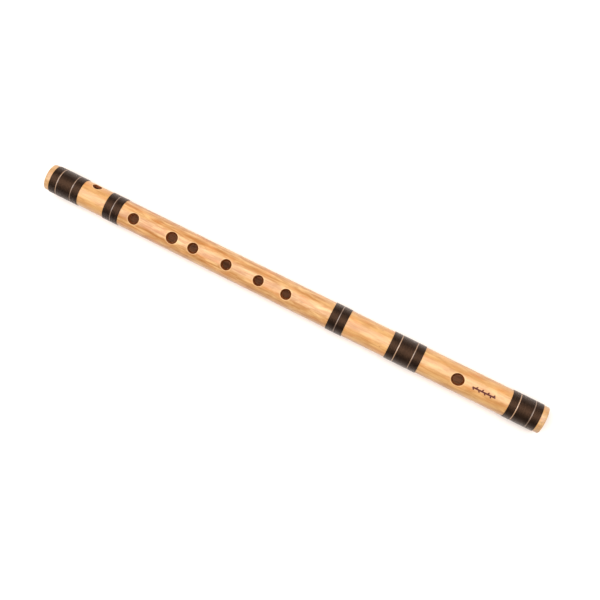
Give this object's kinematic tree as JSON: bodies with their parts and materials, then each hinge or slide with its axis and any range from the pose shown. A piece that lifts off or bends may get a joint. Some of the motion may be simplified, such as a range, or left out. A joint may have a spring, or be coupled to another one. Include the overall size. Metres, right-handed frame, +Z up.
{
  "type": "side-blown bamboo flute",
  "caption": "Side-blown bamboo flute with a line of finger holes, an oval blow hole, a turned tuning hole, a sliding cork stopper and thread bindings.",
  "frame": {"origin": "on the resting surface, midway along the flute and below its axis", "axes": "+X along the flute from its open foot to its blown, corked head; +Z up out of the finger holes and the blow hole; +Y across, to the side the tuning hole is turned to"},
  "size_m": [0.51, 0.0264, 0.0265],
  "materials": {
    "bamboo": "satin",
    "cork": "matte",
    "black_thread": "satin",
    "pale_gold_thread": "satin"
  },
  "bodies": {
    "flute": {"bamboo_tube": "bamboo", "foot_winding_1": "black_thread", "foot_winding_2": "black_thread", "foot_winding_3": "black_thread", "lower_winding_1": "black_thread", "lower_winding_2": "black_thread", "middle_winding_1": "black_thread", "middle_winding_2": "black_thread", "upper_winding_1": "black_thread", "upper_winding_2": "black_thread", "upper_winding_3": "black_thread", "head_winding_1": "black_thread", "head_winding_2": "black_thread", "head_winding_3": "black_thread", "foot_pale_thread_1": "pale_gold_thread", "foot_pale_thread_2": "pale_gold_thread", "lower_pale_thread_1": "pale_gold_thread", "middle_pale_thread_1": "pale_gold_thread", "upper_pale_thread_1": "pale_gold_thread", "upper_pale_thread_2": "pale_gold_thread", "head_pale_thread_1": "pale_gold_thread", "head_pale_thread_2": "pale_gold_thread"},
    "stopper": {"cork_stopper": "cork"}
  },
  "joints": [
    {"name": "stopper_slide", "type": "slide", "parent": "flute", "child": "stopper", "axis": [1, 0, 0], "range_m": [-0.006, 0.01]}
  ]
}
